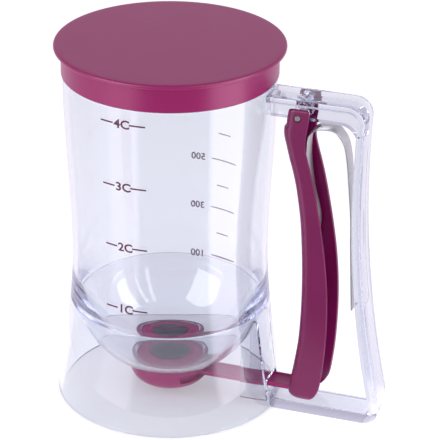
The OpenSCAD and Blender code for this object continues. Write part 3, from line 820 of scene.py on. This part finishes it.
# %% Leaf spring
SPRING_HALF, SPRING_T = 4.5, 0.7
front_leg = [(73.2, 77.7), (74.8, 91.4), (76.0, 105), (72.6, 120.2), (70.7, 133.1), (70.4, 143),
             (71.1, 148.6), (73.6, 151.8), (77.0, 153.3)]
back_leg = [(83.4, 153.3), (86.65, 150.7), (89.1, 146.5), (90.5, 140), (91.3, 133), (92.1, 124.5),
            (93.3, 111.1), (93.65, 103.5), (93.9, 94.4), (94.4, 82.2), (95.0, 68.6), (95.4, 60.2)]
path = smooth_line(front_leg + back_leg, 8)
tangent = np.gradient(path, axis=0)
tangent /= np.linalg.norm(tangent, axis=1)[:, None]
normal = np.column_stack([-tangent[:, 1], tangent[:, 0]])
y, share = soft_box(SPRING_HALF, SPRING_T, 0.2, 3)
offset = (share - 0.5) * SPRING_T
xz = path[:, None] + offset[None, :, None] * normal[:, None]
leaf = swept("leaf_spring_strip", np.stack([xz[..., 0], y + 0 * xz[..., 0], xz[..., 1]], -1))
wear(leaf, spring_steel)
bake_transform(leaf)
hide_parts("leaf_spring")

# %% [markdown]
# ## The printed scales
#
# Two scales are printed on the outside of the barrel: cups on one side and millilitres on
# the opposite one, with long and short lines. The marks are flat shapes first, in arc length
# and height, and are then wrapped round the barrel: a flat point at the distance s from the
# scale's middle goes to the angle s / R.

# %% Wrapping flat marks
INK_FROM, INK_TO, SCALE_R = 0.02, 0.08, RIM_R - 1


def wrapped(flat, middle_deg):
    """Puts points (arc length, height) on the barrel, at two depths: the angle is the
    middle angle plus the arc length over the radius."""
    s, z = flat.T
    r = barrel(z)
    t = math.radians(middle_deg) + s / SCALE_R
    return np.vstack([np.column_stack([(r + d) * np.cos(t), (r + d) * np.sin(t), z])
                      for d in (INK_FROM, INK_TO)])


def print_bar(name, s0, s1, z, thick, middle):
    """A level line of the scale from s0 to s1, as a thin closed shell round the barrel."""
    s = np.linspace(s0, s1, 9)
    flat = np.column_stack([np.concatenate([s, s[::-1]]),
                            np.repeat([z - thick / 2, z + thick / 2], len(s))])
    n = len(flat)
    ends = [list(range(n)), list(range(n, 2 * n))[::-1]]
    return as_object(name, wrapped(flat, middle), grid_faces(2, n, False, True) + ends)


# The font's size for figures of a given height, how far its strokes are fattened, and how
# much its letters are widened.
SIZE_PER_HEIGHT, FATTEN, WIDEN = 1.45, 0.034, 1.1


def print_text(name, words, s, z, height, middle):
    """Letters from Blender's own font, as a flat mesh, then wrapped like the lines. An edge
    that only one face uses is on the letters' outline and gets a wall."""
    curve = bpy.data.curves.new(name, "FONT")
    curve.body, curve.size, curve.align_x = words, height * SIZE_PER_HEIGHT, "CENTER"
    curve.offset = FATTEN * height
    curve.resolution_u = 3
    text = bpy.data.objects.new(name, curve)
    scene.collection.objects.link(text)
    flat = evaluated_mesh(text)
    bpy.data.objects.remove(text)
    co = np.zeros(len(flat.vertices) * 3, np.float32)
    flat.vertices.foreach_get("co", co)
    co = co.reshape(-1, 3)[:, :2] * (WIDEN, 1)
    co[:, 1] += z - height / 2
    co[:, 0] += s
    n = len(co)
    faces = [list(p.vertices) for p in flat.polygons]
    edges = dict.fromkeys((i, j) for f in faces for i, j in zip(f, f[1:] + f[:1]))
    walls = [[j, i, i + n, j + n] for i, j in edges if (j, i) not in edges]
    return as_object(name, wrapped(co, middle), [f[::-1] for f in faces]
                     + [[k + n for k in f] for f in faces] + walls)


# %% The scales
CUPS = (("4C", 163.0), ("3C", 130.3), ("2C", 97.8), ("1C", 64.7))
SHORT_LINES, LONG_LINES = (("ml_600", 120.1), ("ml_400", 92.0), ("ml_200", 65.0)), (
    ("500", 106.0), ("300", 79.4), ("100", 51.3))
CUP_AT, CUP_LINE, CUP_HEIGHT = -93.0, 0.75, 4.2
ML_AT, ML_LINE, ML_HEIGHT = 77.0, 0.6, 3.4
marks = []
for words, z in CUPS:
    marks.append(print_bar("line_left", -14.0, -7.3, z, CUP_LINE, CUP_AT))
    marks.append(print_bar("line_right", 1.0, 8.9, z, CUP_LINE, CUP_AT))
    marks.append(print_text("cup_" + words, words, -2.7, z, CUP_HEIGHT, CUP_AT))
for name, z in SHORT_LINES:
    marks.append(print_bar(name, -5.6, 2.1, z, ML_LINE, ML_AT))
for words, z in LONG_LINES:
    marks.append(print_bar("ml_line", -10.4, 5.6, z, ML_LINE, ML_AT))
    marks.append(print_text("ml_" + words, words, 13.6, z, ML_HEIGHT, ML_AT))
bpy.ops.object.select_all(action="DESELECT")
for obj in marks:
    obj.select_set(True)
bpy.context.view_layer.objects.active = marks[0]
bpy.ops.object.join()
scales = marks[0]
scales.name = scales.data.name = "printed_scales"
wear(scales, ink)
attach(scales, "jug")
print("scales:", len(scales.data.polygons), "faces")

# %% [markdown]
# ## Stage, light and camera
#
# The dispenser stands on a table of white acrylic that is lit from below, in a pale room that
# is dimmer overhead. Such a table gives a white ground without shadows, and clear plastic on
# it is drawn by its own thickness. Its glow is lower under the jug's foot, as a painted shadow
# of the jug, and a little lower far away. What gives glossy things life are reflections, so white
# cards stand left and right of the front, with a dark gap between them, seen by reflections
# alone.

# %% Table
TABLE_HALF, TABLE_Z = 6000.0, -0.3
# Under the jug's foot the glow is lower: a painted shadow of the jug on the table.
FOOT_SHADOW_GLOW, OPEN_GLOW, FAR_LOSS = 0.37, 0.81, 0.10
SQUARE = ((-1, -1), (1, -1), (1, 1), (-1, 1))
table = as_object("table", [(x * TABLE_HALF, y * TABLE_HALF, TABLE_Z) for x, y in SQUARE],
                  [[0, 1, 2, 3]])
m, tree, out = new_material("lit_acrylic_table")
sheet = node(tree, "ShaderNodeBsdfPrincipled", (0, 0), Roughness=0.9)
sheet.inputs["Base Color"].default_value = linear("#B4B4B7")
sheet.inputs["Emission Color"].default_value = linear("#FFFFFF")
spot = node(tree, "ShaderNodeTexCoord", (-900, 0))
reach = node(tree, "ShaderNodeVectorMath", (-700, 0), {0: spot.outputs["Object"]},
             operation="LENGTH")
# Painted shadow: inside the jug's foot the table's glow drops to the lower value, where the jug
# would shade it.
painted_foot_shadow = node(tree, "ShaderNodeMapRange", (-500, 100), {"Value": reach.outputs["Value"]},
           From_Min=0.0545, From_Max=0.0585, To_Min=FOOT_SHADOW_GLOW, To_Max=OPEN_GLOW)
fade = node(tree, "ShaderNodeMapRange", (-500, -200), {"Value": reach.outputs["Value"]},
            From_Min=0.13, From_Max=0.38, To_Min=0.0, To_Max=FAR_LOSS)
glow = node(tree, "ShaderNodeMath", (-250, 0), {0: painted_foot_shadow.outputs[0], 1: fade.outputs[0]},
            operation="SUBTRACT")
tree.links.new(glow.outputs[0], sheet.inputs["Emission Strength"])
tree.links.new(sheet.outputs[0], out.inputs["Surface"])
wear(table, m)

# %% Room
world = bpy.data.worlds.new("room")
world.use_nodes = True
scene.world = world
wt = world.node_tree
wt.nodes.clear()
w_out = node(wt, "ShaderNodeOutputWorld", (600, 0))
where = node(wt, "ShaderNodeTexCoord", (-600, 0))
split = node(wt, "ShaderNodeSeparateXYZ", (-400, 0), {0: where.outputs["Generated"]})
height = node(wt, "ShaderNodeMapRange", (-200, 0), {"Value": split.outputs["Z"]},
              From_Min=0.0, From_Max=0.9, To_Min=0.98, To_Max=0.6)
backing = node(wt, "ShaderNodeBackground", (200, 0), {"Strength": height.outputs[0]})
backing.inputs["Color"].default_value = linear("#F8F0FF")
wt.links.new(backing.outputs[0], w_out.inputs["Surface"])


# %% Cards for reflections
# The jug's front is where the handle stands to the right. Card directions count from it, in
# degrees to the right. The ring's colour ramp holds a share of its brightest value.
FRONT_SIDE, RING_IN, RING_OUT, RING_Z, BRIGHTEST = -70.0, 105.0, 1500.0, -0.15, 4.0
GLOW_TINT = (0.97, 0.88, 1)


def only_reflected(obj, through_walls=False):
    """Leaves an object visible to reflections, also through a clear wall if asked, and to
    nothing else."""
    obj.visible_camera = obj.visible_diffuse = obj.visible_shadow = False
    obj.visible_transmission = through_walls
    obj.visible_volume_scatter = False


def ring_card(name, stops):
    """A ring on the table whose glow depends on the direction from the jug. Stops are
    (degrees to the right of the front, brightness)."""
    t = np.linspace(0, 2 * np.pi, 96, endpoint=False)[:, None]
    r = np.array([RING_IN, RING_OUT])
    points = np.stack([r * np.cos(t), r * np.sin(t), RING_Z + 0 * r * t], -1).reshape(-1, 3)
    card = as_object(name, points, grid_faces(96, 2, True, False))
    m, tree, out = new_material(name + "_glow")
    place = node(tree, "ShaderNodeTexCoord", (-900, 0))
    turn = node(tree, "ShaderNodeMapping", (-700, 0), {"Vector": place.outputs["Object"]},
                Rotation=(0, 0, math.radians(-FRONT_SIDE)))
    xyz = node(tree, "ShaderNodeSeparateXYZ", (-500, 0), {0: turn.outputs["Vector"]})
    angle = node(tree, "ShaderNodeMath", (-300, 0), {0: xyz.outputs["Y"], 1: xyz.outputs["X"]},
                 operation="ARCTAN2")
    share = node(tree, "ShaderNodeMapRange", (-100, 0), {"Value": angle.outputs[0]},
                 From_Min=-math.pi, From_Max=math.pi)
    ramp = node(tree, "ShaderNodeValToRGB", (100, 0), {0: share.outputs[0]})
    steps = ramp.color_ramp.elements
    while len(steps) < len(stops):
        steps.new(0.5)
    for step, (deg, glow) in zip(steps, stops):
        step.position = (deg + 180) / 360
        step.color = (*(glow / BRIGHTEST * c for c in GLOW_TINT), 1)
    light = node(tree, "ShaderNodeEmission", (400, 0), {"Color": ramp.outputs[0]},
                 Strength=BRIGHTEST)
    tree.links.new(light.outputs[0], out.inputs["Surface"])
    wear(card, m)
    only_reflected(card)


def hanging_card(name, side_deg, up_deg, wide, tall, glow, away=1000.0):
    """A glowing rectangle that faces the jug from the direction (degrees to the right of
    the front, degrees above the table), away mm from the jug's middle."""
    a, e = math.radians(FRONT_SIDE + side_deg), math.radians(up_deg)
    out_dir = np.array([math.cos(e) * math.cos(a), math.cos(e) * math.sin(a), math.sin(e)])
    across = np.array([-math.sin(a), math.cos(a), 0])
    rise = np.cross(across, out_dir) * -1
    middle = out_dir * away + (0, 0, 90)
    spots = [middle + u * wide / 2 * across + v * tall / 2 * rise for u, v in SQUARE]
    card = as_object(name, spots, [[0, 1, 2, 3]])
    m, tree, out = new_material(name + "_glow")
    light = node(tree, "ShaderNodeEmission", (0, 0), Strength=glow)
    light.inputs["Color"].default_value = linear("#FFFFFF")
    tree.links.new(light.outputs[0], out.inputs["Surface"])
    wear(card, m)
    only_reflected(card, True)


ring_card("table_glow", [(-180, 1.0), (-100, 1.0), (-68, 1.5), (-62, 2.4), (-36, 2.4),
                         (-30, 0.12), (38, 0.12), (44, 3.7), (78, 3.7), (90, 1.0),
                         (130, 1.0), (180, 1.0)])
hanging_card("window_right", 66, 25, 600, 900, 5.0)
hanging_card("window_right_narrow", 32, 26, 90, 900, 4.0)
hanging_card("window_left", -56, 25, 720, 900, 5.0)

# %% Camera
# The eye is on a line from the jug's middle, 20 degrees round from the front of the solids
# and 25.6 degrees up. The look is turned about a degree to the right, so that the handle is
# in the picture, and is given as two directions, because it also rolls by half a degree.
AZIMUTH, ELEVATION, DISTANCE, AIM_Z = 20.0, 25.6, 1.2032, 0.09145
LENS_MM, SENSOR_MM = 199.1, 36
az, el = math.radians(AZIMUTH), math.radians(ELEVATION)
eye = Vector((math.sin(az) * math.cos(el), -math.cos(az) * math.cos(el), math.sin(el)))
eye *= DISTANCE
eye.z += AIM_Z
forward = Vector((-0.289184, 0.854256, -0.431994))
up = Vector((-0.147804, 0.406019, 0.901833))
right = forward.cross(up)
camera = bpy.data.cameras.new("camera")
camera.lens, camera.sensor_width = LENS_MM, SENSOR_MM
shot = bpy.data.objects.new("camera", camera)
shot.matrix_world = Matrix.Translation(eye) @ Matrix((right, up, -forward)).transposed().to_4x4()
scene.collection.objects.link(shot)
scene.camera = shot
scene.view_settings.view_transform = "Standard"
scene.view_settings.look = "None"

# %% Light paths
# Light that gets into the narrow wedge where the bowl meets the wall is thrown to and fro
# many times. With few bounces it ends there and the bowl's rim turns black.
BOUNCES, CLEAR_BOUNCES = 128, 48
scene.cycles.max_bounces = BOUNCES
scene.cycles.transmission_bounces = BOUNCES
scene.cycles.glossy_bounces = BOUNCES
scene.cycles.transparent_max_bounces = CLEAR_BOUNCES
scene.cycles.caustics_refractive = scene.cycles.caustics_reflective = True
